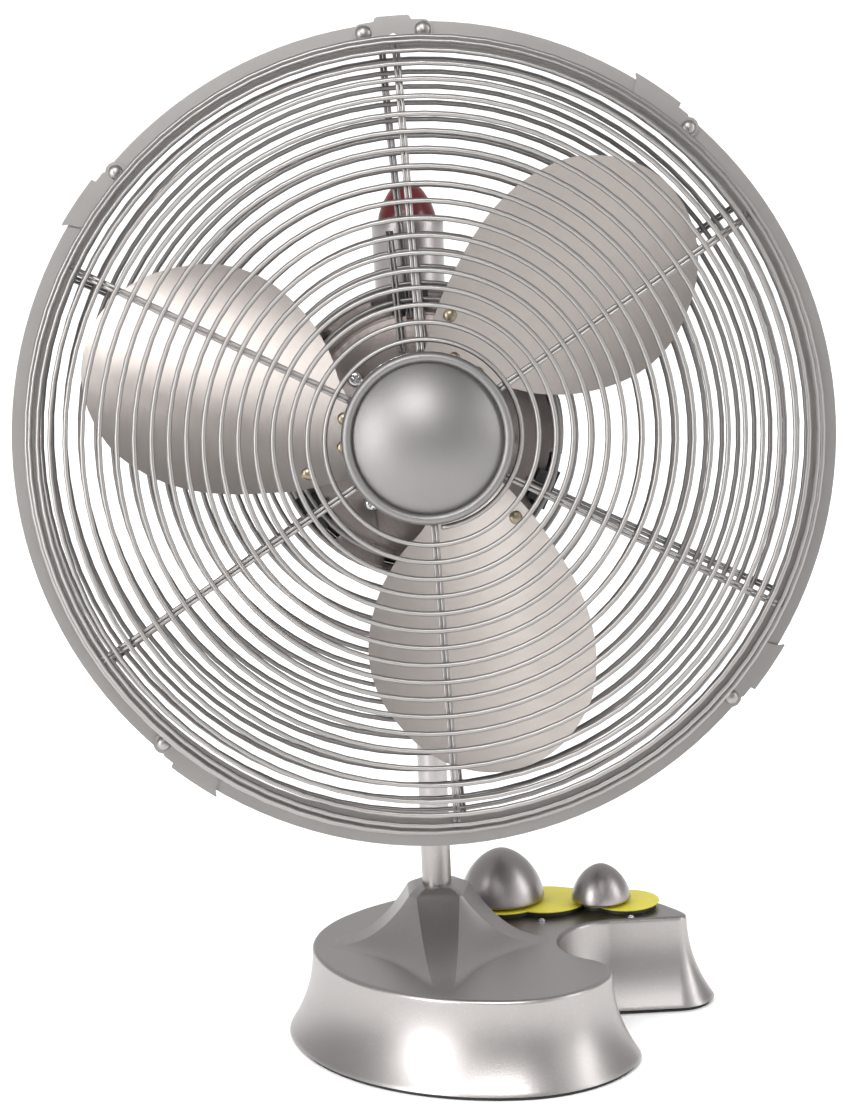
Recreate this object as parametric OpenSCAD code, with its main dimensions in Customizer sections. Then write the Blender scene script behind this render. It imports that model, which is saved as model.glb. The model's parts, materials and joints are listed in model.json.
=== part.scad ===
/* [Base] */
// Height of the base cover above the floor
base_top = 43; // [38:1:48]
// How far the skirt flares out from the top edge to the bottom edge
skirt_flare = 12.5; // [8:0.5:14]
// Wall of the cast base cover
cover_wall = 2.6; // [2:0.2:3.4]
// Height of the four-sided cowl around the post
cowl_h = 27.5; // [22:0.5:30]
// Radius of the large control knob
big_knob_r = 20; // [17:0.5:21]
// Radius of the small control knob
small_knob_r = 14; // [12:0.5:15]

/* [Post] */
// Outer diameter of the post
post_d = 13.5; // [12:0.5:15]
// Height of the tilt bolt above the floor
pivot_z = 211; // [205:1:225]
// Backward tilt of the head at rest, in degrees
head_tilt = 10; // [0:1:14]
// Height of the fan axis above the tilt bolt
axis_rise = 72; // [71:0.5:74]

/* [Guard] */
// Outer radius of the two guard rims
rim_r = 175; // [172:1:178]
// Diameter of the ring wire
ring_wire = 2.2; // [1.8:0.1:2.4]
// Diameter of the spoke wire
spoke_wire = 3.2; // [2.6:0.1:3.4]
// Distance from one turn of the front guard wire to the next
front_pitch = 7.18; // [7:0.01:7.4]
// Distance from one turn of the rear guard wire to the next
rear_pitch = 7.1; // [7:0.01:7.4]
// Turn of the guard about the fan axis, counter-clockwise from the front, in degrees
guard_clock = 2; // [0:0.5:4]

/* [Rotor] */
// Radius of the blade tips
blade_r = 150; // [145:1:152]
// Angle between a blade and the plane of rotation, in degrees
blade_pitch = 20; // [16:1:22]
// Turn of the rotor at rest, in degrees
rotor_clock = -2; // [-20:1:20]

/* [Hidden] */
$fn = 48;
eps = 0.01;

// Colours
nickel = [0.62, 0.6, 0.58];
motor_grey = [0.42, 0.39, 0.37];
black = [0.06, 0.06, 0.07];
steel = [0.78, 0.78, 0.8];
copper = [0.72, 0.42, 0.24];
brass = [0.8, 0.66, 0.36];
iron = [0.3, 0.3, 0.31];
red = [0.62, 0.02, 0.04];
yellow = [0.93, 0.9, 0.2];

// ---------- Base outline: a comma drawn as tangent arcs ----------

// Centre of a circle of radius r that touches circle (c, big) from inside at angle a
function inner_centre(c, big, r, a) = c + (big - r) * [cos(a), sin(a)];

back_c = [30, -26];
back_r = 98;
left_a = 139;
left_r = 62;
left_c = inner_centre(back_c, back_r, left_r, left_a);
side_a = 190;
side_r = 94;
side_c = inner_centre(left_c, left_r, side_r, side_a);
front_a = 268;
front_r = 46;
front_c = inner_centre(side_c, side_r, front_r, front_a);
lobe_a = -25;
lobe_r = 20;
lobe_c = inner_centre(front_c, front_r, lobe_r, lobe_a);
waist_a = 56;
waist_r = 28;
waist_c = lobe_c + (lobe_r + waist_r) * [cos(waist_a), sin(waist_a)];
tail_r = 5;
tail_y = waist_c[1] + waist_r + tail_r;
tail_x = back_c[0] + sqrt(pow(back_r - tail_r, 2) - pow(tail_y - back_c[1], 2));
tail_c = [tail_x, tail_y];
tail_a = atan2(tail_y - back_c[1], tail_x - back_c[0]);

// Points of one arc, without the last
function arc(c, r, a0, a1, n) = [for (i = [0:n - 1]) c + r * [cos(a0 + (a1 - a0) * i / n), sin(a0 + (a1 - a0) * i / n)]];

// Outline of the base, grown outwards by g
function outline(g) = concat(
    arc(front_c, front_r + g, front_a, 360 + lobe_a, 9),
    arc(lobe_c, lobe_r + g, lobe_a, waist_a, 7),
    arc(waist_c, waist_r - g, 180 + waist_a, 90, 12),
    arc(tail_c, tail_r + g, -90, tail_a, 6),
    arc(back_c, back_r + g, tail_a, left_a, 21),
    arc(left_c, left_r + g, left_a, side_a, 9),
    arc(side_c, side_r + g, side_a, front_a, 14)
);

// Flare of the skirt at height z: none at the top edge, all of it at the floor
skirt_foot = 2;
function flare(z) = skirt_flare * pow(max(0, (base_top - z) / (base_top - skirt_foot)), 2.2);

// Triangles over a bent ring, laced from point i to point j by the shorter crossing that stays inside
function area(a, b, c) = (b[0] - a[0]) * (c[1] - a[1]) - (b[1] - a[1]) * (c[0] - a[0]);
function laced(ring, i, j) = j - i < 2 ? [] :
    let (near = area(ring[i], ring[i + 1], ring[j]) > 0 &&
            (norm(ring[i + 1] - ring[j]) <= norm(ring[i] - ring[j - 1]) || area(ring[i], ring[j - 1], ring[j]) <= 0))
    near ? concat([[i, i + 1, j]], laced(ring, i + 1, j)) : concat([[i, j - 1, j]], laced(ring, i, j - 1));

// Triangles over a ring of n points that all meet at the point with index centre
function fan(n, centre) = [for (i = [0:n - 1]) [i, (i + 1) % n, centre]];

// Closed solid between level rings that all have the same number of points.
// With a centre, the first and last rings must be seen whole from the Z axis.
module loft(rings, centre = false) {
    n = len(rings[0]);
    m = len(rings);
    last = (m - 1) * n;
    centres = centre ? [[0, 0, rings[0][0][2]], [0, 0, rings[m - 1][0][2]]] : [];
    points = concat([for (ring = rings) each ring], centres);
    walls = [for (k = [0:m - 2]) for (i = [0:n - 1])
        let (a = k * n + i, b = k * n + (i + 1) % n)
        each [[a, b + n, b], [a, a + n, b + n]]];
    foot = centre ? fan(n, m * n) : laced(rings[0], 0, n - 1);
    top = centre ? fan(n, m * n + 1 - last) : laced(rings[m - 1], 0, n - 1);
    top_faces = [for (f = top) [f[2] + last, f[1] + last, f[0] + last]];
    polyhedron(points = points, faces = concat(foot, walls, top_faces), convexity = 6);
}

function at_height(ring, z) = [for (p = ring) [p[0], p[1], z]];

// Solid of the base cover, drawn in by inset all round
edge_r = 2;
module base_solid(inset, z0, z1) {
    levels = [for (i = [0:7]) z0 + (z1 - edge_r - z0) * i / 7];
    edge = [for (a = [30, 60, 90]) [z1 - edge_r * (1 - sin(a)), edge_r * (1 - cos(a))]];
    loft(concat(
        [for (z = levels) at_height(outline(flare(z) - inset), z)],
        [for (e = edge) at_height(outline(-inset - e[1]), e[0])]
    ));
}

big_knob_at = [32, 41];
small_knob_at = [78.5, 32];
gland_at = [20, 76];
screw_spots = [[-42, -22], [20, -74], [54, 46]];

module base_cover() {
    color(nickel)
    difference() {
        union() {
            difference() {
                base_solid(0, skirt_foot, base_top);
                translate([0, 0, -eps]) base_solid(cover_wall, skirt_foot, base_top - cover_wall);
            }
            for (p = screw_spots) translate([p[0], p[1], plate_z + plate_t + 0.1]) cylinder(h = base_top - 5, r = 4.5);
            translate([gland_at[0], gland_at[1] - 4.2, 14]) rotate([-90, 0, 0]) cylinder(h = 9.1, r = 8.2);
        }
        for (p = screw_spots) translate([p[0], p[1], 0]) cylinder(h = 12, r = 2.05);
        cylinder(h = 100, d = post_d + 0.1);
        translate([big_knob_at[0], big_knob_at[1], 0]) cylinder(h = 100, r = 4.6);
        translate([small_knob_at[0], small_knob_at[1], 0]) cylinder(h = 100, r = 4.6);
        translate([gland_at[0], gland_at[1] - 20, 14]) rotate([-90, 0, 0]) cylinder(h = 40, r = 4.5);
    }
}

// Bottom plate, let into the skirt
plate_z = 1.4;
plate_t = 1.6;
module base_plate() {
    color(black)
    difference() {
        translate([0, 0, plate_z]) linear_extrude(plate_t) polygon(outline(flare(plate_z + plate_t) - 3.4));
        for (p = screw_spots) translate([p[0], p[1], 0]) cylinder(h = 10, r = 2.1);
    }
}

// Rubber sheet that the fan stands on, with holes over the screws
module rubber_pad() {
    color(black)
    difference() {
        linear_extrude(plate_z) polygon(outline(flare(skirt_foot) - 2));
        for (p = screw_spots) translate([p[0], p[1], -1]) cylinder(h = 4, r = 4.6);
    }
}

// Screws of the bottom plate, and the nut on the post below the weight
module base_fasteners() {
    color(steel) {
        for (p = screw_spots) translate([p[0], p[1], 0]) {
            translate([0, 0, 0.2]) cylinder(h = plate_z - 0.2, r = 4);
            translate([0, 0, 0.5]) cylinder(h = 9, r = 2);
        }
        translate([0, 0, weight_z - 6.1]) difference() {
            cylinder(h = 6, r = 12, $fn = 6);
            translate([0, 0, -1]) cylinder(h = 9, d = post_d + 0.1);
        }
    }
}

// Cast weight that keeps the fan from tipping, held up against the cover by the nut
weight_z = 24.3;
weight_h = 16;
module ballast_weight() {
    color(iron)
    difference() {
        translate([5, -28, weight_z]) cylinder(h = weight_h, r = 40);
        cylinder(h = 60, d = post_d + 0.1);
    }
}

// Four-sided cowl: a ridge towards each corner, each ridge a flat strip, with hollow faces between
cowl_corners = [[50, -10.5], [4, 46], [-51, 0], [-0.5, -73.5]];
cowl_top_r = 13.5;
cowl_cap = 3.5;
strip_top = 20;
strip_foot = 8.5;
// Share of the height that is left at share u of the way out along a ridge
function ridge_rise(u) = pow(1 - u, 2.4);
// Ring at share u of the way out; a negative u is on the rounded cap, inside the upper edge
function cowl_ring(u) = [for (k = [0:3])
    let (c = cowl_corners[k], d = cowl_corners[(k + 1) % 4],
         cu = c / norm(c), du = d / norm(d),
         rc = cowl_top_r + (u < 0 ? cowl_top_r : norm(c) - cowl_top_r) * u,
         rd = cowl_top_r + (u < 0 ? cowl_top_r : norm(d) - cowl_top_r) * u,
         w = (u < 0 ? strip_top * (1 + u * 1.35) : strip_top + (strip_foot - strip_top) * u) / 2,
         p = rc * cu + w * [-cu[1], cu[0]],
         q = rd * du - w * [-du[1], du[0]])
    each [rc * cu - w * [-cu[1], cu[0]], p, for (s = [0.25, 0.5, 0.75])
        (p + (q - p) * s) * (1 - 0.16 * max(0, u) * sin(180 * s))]];
function cowl_z(u) = base_top + 0.02 + (u < 0 ? cowl_h - cowl_cap * pow(1 + u * 2, 2) : (cowl_h - cowl_cap) * ridge_rise(u));

module post_cowl() {
    color(nickel)
    difference() {
        loft([for (u = [1, 0.86, 0.72, 0.58, 0.46, 0.35, 0.25, 0.16, 0.08, 0, -0.04, -0.12, -0.25, -0.45])
            at_height(cowl_ring(u), cowl_z(u))], centre = true);
        translate([0, 0, base_top - 1]) cylinder(h = cowl_h + 4, d = post_d + 0.1);
    }
}

// ---------- Controls ----------
card_z = base_top + 2.6;
card_t = 0.5;
card_discs = [[32, 41, 21.8], [53, 38.5, 19.5], [90.5, 31.5, 15.5], [78.5, 34, 11]];
module card_shape(grow) {
    for (d = card_discs) translate([d[0], d[1]]) circle(r = d[2] + grow);
}

module control_panel() {
    color(black)
    translate([0, 0, base_top]) difference() {
        linear_extrude(card_z - base_top) card_shape(-1.5);
        translate([big_knob_at[0], big_knob_at[1], -1]) cylinder(h = 9, r = 4.6);
        translate([small_knob_at[0], small_knob_at[1], -1]) cylinder(h = 9, r = 4.6);
    }
}

module knob_card() {
    color(yellow)
    translate([0, 0, card_z]) difference() {
        linear_extrude(card_t) card_shape(0);
        translate([big_knob_at[0], big_knob_at[1], -1]) cylinder(h = 9, r = 5);
        translate([small_knob_at[0], small_knob_at[1], -1]) cylinder(h = 9, r = 5);
    }
}

module panel_studs() {
    color(steel)
    for (p = [[49, 16.5], [91, 15.5]]) translate([p[0], p[1], base_top]) {
        cylinder(h = 0.7, r = 1.9);
        cylinder(h = 1.1, r = 1.2);
    }
}

// Share of the full radius at share u of a bullet knob's height
function bullet(u) = pow(1 - pow(u, 1.7), 0.58);
knob_z = card_z + card_t + 1.2;
spindle_r = 3;
spindle_reach = 16;
// Bullet-shaped knob with the spindle that turns in its switch
module bullet_knob(r, h) {
    rotate_extrude() polygon(concat(
        [[0, -spindle_reach], [spindle_r, -spindle_reach], [spindle_r, 0], [r - 0.6, 0], [r, 0.6]],
        [for (i = [1:11]) [r * bullet(i / 12), h * i / 12]],
        [[0, h]]
    ));
}

big_knob_h = 24.6;
small_knob_h = 17.4;
module speed_knob() {
    color(nickel) translate([big_knob_at[0], big_knob_at[1], knob_z]) bullet_knob(big_knob_r, big_knob_h);
}

module timer_knob() {
    color(nickel) translate([small_knob_at[0], small_knob_at[1], knob_z]) bullet_knob(small_knob_r, small_knob_h);
}

// Rotary switch below the cover, with its threaded bush, the bore for the spindle and four tags
switch_top = base_top - cover_wall - 0.1;
module rotary_switch(r, h) {
    difference() {
        union() {
            translate([0, 0, switch_top - h]) cylinder(h = h, r = r);
            translate([0, 0, switch_top - 1]) cylinder(h = 6, r = 4.5);
        }
        translate([0, 0, knob_z - spindle_reach - 0.5]) cylinder(h = 30, r = spindle_r + 0.05);
    }
    for (a = [0:90:270]) rotate(a) translate([r - 4, -1.2, switch_top - h - 4]) cube([0.8, 2.4, 4.1]);
}

module rotary_switches() {
    color(black) {
        translate([big_knob_at[0], big_knob_at[1], 0]) rotary_switch(15, 18);
        translate([small_knob_at[0], small_knob_at[1], 0]) rotary_switch(12, 15);
    }
}

// Grommet in the skirt for the cord
module cord_gland() {
    color(black)
    translate([gland_at[0], gland_at[1], 14]) rotate([-90, 0, 0]) difference() {
        union() {
            translate([0, 0, -5]) cylinder(h = 11, r = 4.4);
            translate([0, 0, 5]) cylinder(h = 2.2, r = 6.5);
            translate([0, 0, -7.4]) cylinder(h = 3, r = 6);
        }
        translate([0, 0, -12]) cylinder(h = 30, r = 2.8);
    }
}

// ---------- Post and tilt joint ----------
fork_z = pivot_z - 22;
module post_tube() {
    color(nickel)
    translate([0, 0, 4]) difference() {
        cylinder(h = fork_z - 4, d = post_d);
        translate([0, 0, -1]) cylinder(h = fork_z, d = post_d - 3);
    }
}

tongue_w = 9;
fork_gap = 0.4;
cheek_t = 4;
bolt_r = 3;
module post_fork() {
    color(nickel)
    difference() {
        union() {
            translate([0, 0, fork_z]) cylinder(h = 8, r = 9);
            for (s = [-1, 1]) translate([s * (tongue_w / 2 + fork_gap + cheek_t / 2), 0, pivot_z]) {
                rotate([0, 90, 0]) cylinder(h = cheek_t, r = 9.5, center = true);
                translate([-cheek_t / 2, -7, -18]) cube([cheek_t, 14, 18]);
            }
        }
        translate([-30, 0, pivot_z]) rotate([0, 90, 0]) cylinder(h = 60, r = bolt_r + 0.05);
    }
}

bolt_end = tongue_w / 2 + fork_gap + cheek_t;
module tilt_bolt() {
    color(steel)
    translate([0, 0, pivot_z]) rotate([0, 90, 0]) {
        translate([0, 0, -bolt_end - 4]) cylinder(h = 4, r = 5.5, $fn = 6);
        translate([0, 0, -bolt_end - 1]) cylinder(h = 2 * bolt_end + 13, r = bolt_r);
    }
}

module tilt_knob() {
    color(nickel)
    translate([bolt_end + 0.4, 0, pivot_z]) rotate([0, 90, 0]) difference() {
        union() {
            cylinder(h = 3, r = 6);
            translate([0, 0, 3]) rotate_extrude() polygon([[0, 0], [9, 0], [9.5, 1], [9.5, 8], [8, 11], [5, 13], [0, 13.6]]);
        }
        translate([0, 0, -1]) cylinder(h = 13, r = bolt_r + 0.05);
        for (a = [0:30:330]) rotate(a) translate([10.2, 0, 3.5]) cylinder(h = 14, r = 1.4);
    }
}

// ---------- Head frame: origin on the fan axis above the tilt bolt, front towards -Y ----------
module in_neck() {
    translate([0, 0, pivot_z]) rotate([-head_tilt, 0, 0]) children();
}

module in_head() {
    in_neck() translate([0, 0, axis_rise]) children();
}

// Children stand on the fan axis at y, with their own +Z towards the front
module axial(y) {
    translate([0, y, 0]) rotate([90, 0, 0]) children();
}

// Disc or ring about the fan axis between two places along it
module ring_between(y_front, y_back, r_out, r_in) {
    axial(y_back) difference() {
        cylinder(h = y_back - y_front, r = r_out);
        if (r_in > 0) translate([0, 0, -1]) cylinder(h = y_back - y_front + 2, r = r_in);
    }
}

// Children placed at an angle about the fan axis, counter-clockwise from the front
module at_angle(a) {
    rotate([0, -a, 0]) children();
}

// ---------- Neck, swing pin and linkage ----------
collar_z = 22;
swing_r = 5;
throw = 11;
link_z = 28;
link_t = 2.6;
crank_y = 26;
link_pin_r = 2;
module neck() {
    color(nickel)
    in_neck() difference() {
        union() {
            rotate([0, 90, 0]) cylinder(h = tongue_w, r = 9.5, center = true);
            translate([-tongue_w / 2, -7, 0]) cube([tongue_w, 14, collar_z - 4]);
            translate([0, 0, collar_z - 5]) cylinder(h = 5, r = 10.5);
            translate([-throw, 0, collar_z - 5]) cylinder(h = 5, r = 4.5);
            translate([-throw, -4.5, collar_z - 5]) cube([throw, 9, 5]);
            translate([0, 0, collar_z - 1]) cylinder(h = axis_rise - 31 - collar_z + 1, r = swing_r);
            translate([-throw, 0, collar_z - 1]) cylinder(h = link_z + link_t + 0.8 - collar_z + 1, r = link_pin_r);
        }
        rotate([0, 90, 0]) cylinder(h = tongue_w + 2, r = bolt_r + 0.05, center = true);
    }
}

crank_disc_z = link_z + link_t + 0.4;
crank_disc_t = 2;
gear_r = 20.4;
module crank() {
    color(brass)
    in_neck() translate([0, crank_y, 0]) {
        translate([0, 0, crank_disc_z]) cylinder(h = crank_disc_t, r = 14);
        translate([0, 0, crank_disc_z]) cylinder(h = axis_rise - 2 - crank_disc_z, r = 3);
        translate([-throw, 0, link_z - 0.6]) cylinder(h = crank_disc_z - link_z + 1, r = link_pin_r);
        translate([0, 0, axis_rise - 12]) difference() {
            cylinder(h = 6, r = gear_r);
            for (a = [0:10:350]) rotate(a) translate([gear_r + 0.5, 0, -1]) cylinder(h = 8, r = 1.1);
        }
    }
}

module link_arm() {
    color(steel)
    in_neck() translate([-throw, 0, link_z]) difference() {
        union() {
            cylinder(h = link_t, r = 4);
            translate([0, crank_y, 0]) cylinder(h = link_t, r = 4);
            translate([-2.5, 0, 0]) cube([5, crank_y, link_t]);
        }
        translate([0, 0, -1]) cylinder(h = link_t + 2, r = link_pin_r + 0.05);
        translate([0, crank_y, -1]) cylinder(h = link_t + 2, r = link_pin_r + 0.05);
    }
}

// ---------- Gearbox ----------
box_front = -14;
box_back = 48;
box_r = 36;
box_wall = 2.5;
shaft_r = 4;
tower_r = 12;
boss_z = -40;
// Axle of the worm wheel, at x and y
wheel_at = [18.1, 7];
axle_r = 2;
module gearbox_housing() {
    color(motor_grey)
    in_head() {
        difference() {
            union() {
                ring_between(box_front, box_back, box_r, 0);
                translate([0, 0, boss_z]) cylinder(h = 20, r = 9);
                translate([0, crank_y, 20]) cylinder(h = 37, r = tower_r);
            }
            ring_between(box_front + box_wall, box_back + 1, box_r - box_wall, 0);
            ring_between(box_front - 1, box_front + box_wall + 1, shaft_r + 0.6, 0);
            translate([0, 0, boss_z - 1]) cylinder(h = 12, r = swing_r + 0.05);
            translate([0, crank_y, -40]) cylinder(h = 20, r = 3.05);
            translate([0, crank_y, 0]) cylinder(h = 60, r = 2.6);
        }
        translate([wheel_at[0], wheel_at[1], -30]) cylinder(h = 33.6, r = axle_r);
    }
}

module gearbox_cover() {
    color(motor_grey)
    in_head() {
        ring_between(box_back + 0.05, box_back + 3, box_r, 0);
        ring_between(box_back + 3 - eps, box_back + 5, box_r - 4, 0);
    }
}

collar_top = 62;
sleeve_top = 95.5;
module clutch_collar() {
    color(black)
    in_head() translate([0, crank_y, 57.05]) difference() {
        cylinder(h = collar_top - 57.05, r = 14);
        translate([0, 0, -1]) cylinder(h = 20, r = 2.6);
    }
}

module clutch_sleeve() {
    color(nickel)
    in_head() translate([0, crank_y, collar_top + 0.05]) difference() {
        rotate_extrude() polygon([
            [0, 0], [14.5, 0], [16, 1.2], [16.6, sleeve_top - collar_top - 1], [15.8, sleeve_top - collar_top],
            [0, sleeve_top - collar_top]
        ]);
        translate([0, 0, 20]) cylinder(h = 20, r = 14.3);
        translate([0, 0, -1]) cylinder(h = 30, r = 2.6);
    }
}

clutch_travel = 4;
module clutch_knob() {
    color(red)
    in_head() translate([0, crank_y, 0]) {
        translate([0, 0, 2.5 + clutch_travel]) cylinder(h = 90, r = 2.5);
        translate([0, 0, collar_top + 26]) rotate_extrude() polygon([
            [0, 0], [13.9, 0], [13.9, 6.5], [13, 11], [11.4, 15.5], [8.4, 20.5], [7, 22.4], [5, 23.4], [0, 23.8]
        ]);
    }
}

// ---------- Motor ----------
motor_front = -62;
motor_back = -14.6;
bell_split = -38;
bell_r = 63;
module motor_front_bell() {
    color(motor_grey)
    in_head() difference() {
        axial(bell_split) rotate_extrude() polygon([
            [9.05, 0], [9.05, 24], [40, 24], [40, 22.6], [53, 22.6], [53, 20], [57, 20], [57, 15.5],
            [61.5, 15.5], [bell_r, 14], [bell_r, 0], [60, 0], [60, 13], [54, 13], [54, 17.5], [50, 17.5],
            [50, 20], [14, 20], [14, 12], [9.05, 12], [9.05, 0]
        ]);
        for (a = [0:30:330]) at_angle(a + 15) translate([55.5, -53.6, -4]) cube([20, 6, 8]);
        for (a = mount_angles) at_angle(a) axial(-50) translate([mount_r, 0, 0]) cylinder(h = 20, r = 1.65);
    }
}

module motor_rear_bell() {
    color(motor_grey)
    in_head() difference() {
        axial(motor_back) rotate_extrude() polygon([
            [9.05, 0], [52, 0], [58, 2.5], [60, 6], [60, -bell_split + motor_back - 0.2], [57, -bell_split + motor_back - 0.2],
            [57, 6.5], [51, 3], [14, 3], [14, 9], [9.05, 9]
        ]);
        for (a = [0:30:330]) at_angle(a) translate([45, -32, -4]) cube([20, 9, 8]);
        for (a = bolt_angles) at_angle(a) axial(motor_back + 1) translate([bolt_pcr, 0, -2]) cylinder(h = 10, r = 1.55);
    }
}

stack_front = -44;
stack_back = -26;
module stator_core() {
    color(steel)
    in_head() difference() {
        ring_between(stack_front, stack_back, 50, 26);
        for (a = [0:15:345]) at_angle(a) axial(stack_back + 1) translate([36, 0, 0]) cylinder(h = stack_back - stack_front + 2, r = 2.6);
        for (a = bolt_angles) at_angle(a) axial(stack_back + 1) translate([bolt_pcr, 0, 0]) cylinder(h = 22, r = 1.6);
    }
}

module stator_windings() {
    color(copper)
    in_head() for (y = [stack_front - 4.1, stack_back + 4.1])
        axial(y) rotate_extrude() translate([37, 0]) scale(0.8) circle(r = 5);
}

module motor_bushes() {
    color(brass)
    in_head() {
        ring_between(motor_front - 1, -50.2, 9, shaft_r + 0.05);
        ring_between(-23.6, motor_back - 0.1, 9, shaft_r + 0.05);
    }
}

bolt_angles = [45, 135, 225, 315];
bolt_pcr = 46.5;
module through_bolts() {
    color(steel)
    in_head() for (a = bolt_angles) at_angle(a) axial(motor_back + 0.1) translate([bolt_pcr, 0, 0]) {
        translate([0, 0, -2.4]) cylinder(h = 2.3, r = 3);
        translate([0, 0, -1]) cylinder(h = 33, r = 1.5);
    }
}

mount_angles = [354, 138, 232];
mount_r = 37.5;
plate_front = motor_front - 1.6;
module rear_mount_plate() {
    color(motor_grey)
    in_head() difference() {
        ring_between(plate_front, motor_front - 0.05, 52, 12);
        for (a = mount_angles) at_angle(a) axial(-50) translate([mount_r, 0, 0]) cylinder(h = 20, r = 1.65);
    }
}

module mount_screws() {
    color(steel)
    in_head() for (a = mount_angles) at_angle(a) translate([mount_r, 0, 0]) {
        axial(-54) cylinder(h = -54 - plate_front + 1, r = 1.6);
        axial(plate_front) difference() {
            rotate_extrude() polygon([[0, 0], [3.6, 0], [3.4, 1], [2.4, 2], [0, 2.4]]);
            translate([-0.5, -2, 1.2]) cube([1, 4, 3]);
            translate([-2, -0.5, 1.2]) cube([4, 1, 3]);
        }
    }
}

// Rubber blocks between the motor's edge and the rear guard, each with a groove for a spoke
pad_angles = [91.5, 211.5, 331.5];
pad_front = -66.5;
bell_steps = [-58.05, -53.55];
module guard_pads() {
    color(black)
    in_head() for (a = pad_angles) at_angle(a + guard_clock) difference() {
        union() {
            translate([53.5, pad_front, -7]) cube([5, bell_steps[1] - pad_front, 14]);
            translate([57.2, pad_front, -9]) cube([5.3, bell_steps[1] - pad_front, 18]);
        }
        ring_between(bell_steps[0], -40, 57.05, 0);
        translate([40, rear_face + spoke_gap, 0]) rotate([0, 90, 0]) cylinder(h = 40, d = spoke_wire + 0.1);
    }
}

// ---------- Guards ----------
rim_y = -114;
rim_w = 12;
sheet = 1.2;
// Profile of a guard: flat face, rounded shoulder and straight wall, measured by s along the wire face
function guard_flat(g) = g[1] - g[0];
function guard_bend(g) = g[2] * PI / 2;
function guard_angle(g, s) = min(90, max(0, (s - guard_flat(g)) * 180 / PI / g[2]));
function guard_r(g, s) = min(g[0] + s, g[1]) + g[2] * sin(guard_angle(g, s));
function guard_drop(g, s) = g[2] * (1 - cos(guard_angle(g, s))) + max(0, s - guard_flat(g) - guard_bend(g));

// First ring radius, radius where the face ends, shoulder radius
front_guard = [37.5, 143, 25];
rear_guard = [55, 140, 28];
front_face = rim_y - 36;
rear_face = rim_y + 46;
front_face_count = 15;
front_count = 22;
rear_face_count = 12;
rear_count = 19;

module guard_ring(g, s, face, way) {
    axial(face + way * guard_drop(g, s)) rotate_extrude() translate([guard_r(g, s), 0]) circle(d = ring_wire);
}

module front_face_rings() {
    color(nickel) in_head() for (k = [0:front_face_count - 1]) guard_ring(front_guard, k * front_pitch, front_face, 1);
}

module front_side_rings() {
    color(nickel) in_head() for (k = [front_face_count:front_count - 1]) guard_ring(front_guard, k * front_pitch, front_face, 1);
}

module rear_face_rings() {
    color(nickel) in_head() for (k = [0:rear_face_count - 1]) guard_ring(rear_guard, k * rear_pitch, rear_face, -1);
}

module rear_side_rings() {
    color(nickel) in_head() for (k = [rear_face_count:rear_count - 1]) guard_ring(rear_guard, k * rear_pitch, rear_face, -1);
}

// Wire that runs out along a guard's face, round its shoulder and back to the rim; it lies off the rings by gap
module spoke(g, face, way, start, gap, rim_at) {
    bend = g[2] - way * gap;
    y_face = face + way * (g[2] - bend);
    y_bend = face + way * g[2];
    translate([start, y_face, 0]) rotate([0, 90, 0]) cylinder(h = g[1] - start, d = spoke_wire);
    translate([g[1], y_bend, 0]) rotate_extrude(angle = -way * 90, start = 0) translate([bend, 0]) circle(d = spoke_wire);
    translate([g[1] + bend, y_bend, 0]) rotate([-way * 90, 0, 0]) cylinder(h = abs(rim_at - y_bend), d = spoke_wire);
}

spoke_gap = (ring_wire + spoke_wire) / 2 + 0.05;
spoke_angles = [for (k = [0:5]) 30 + 60 * k];
module front_spokes() {
    color(nickel) in_head() for (a = spoke_angles) at_angle(a + guard_clock)
        spoke(front_guard, front_face, 1, 33, spoke_gap, rim_y - 0.25 - sheet);
}

module rear_spokes() {
    color(nickel) in_head() for (a = spoke_angles) at_angle(a + guard_clock + 1.5)
        spoke(rear_guard, rear_face, -1, 50.5, spoke_gap, rim_y + 0.05 + sheet);
}

rivet_r = 2;
rivet_at = rim_r - 3.5;
hang_hole = rim_r - 6.3;
latch_angles = [45, 135, 225, 315];
tab_rivet_angles = [85.8, 94.2];
module rim(y_front, holes) {
    difference() {
        ring_between(y_front, y_front + sheet, rim_r, rim_r - rim_w);
        if (holes) for (a = concat(latch_angles, tab_rivet_angles)) at_angle(a + guard_clock)
            axial(y_front + 5) translate([rivet_at, 0, 0]) cylinder(h = 10, r = rivet_r + 0.05);
        at_angle(90 + guard_clock) axial(y_front + 5) translate([hang_hole, 0, 0]) cylinder(h = 10, r = 1.8);
    }
}

module front_rim() {
    color(nickel) in_head() rim(rim_y - 0.2 - sheet, true);
}

module rear_rim() {
    color(nickel) in_head() rim(rim_y, false);
}

latch_front = rim_y - 0.2 - sheet - 0.3 - 1.3;
// Points on an arc of radius r about the fan axis
function rim_arc(r, a0, a1, n = 8) = [for (i = [0:n]) r * [cos(a0 + (a1 - a0) * i / n), sin(a0 + (a1 - a0) * i / n)]];
function rivet_arc(r, a0, a1) = [for (i = [0:10]) [rivet_at, 0] + r * [cos(a0 + (a1 - a0) * i / 10), sin(a0 + (a1 - a0) * i / 10)]];

lip_r = rim_r + 2.4;
lip_t = 1.2;
latch_back = rim_y + sheet + 2.3;
// Far end of a latch plate, as radius and angle, from its inner edge out to the tip
latch_end = [[166.6, 8.1], [168.4, 8.9], [170.6, 9.35], [173.2, 9.6], [175.4, 9.9], [176.8, 10.3]];
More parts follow.
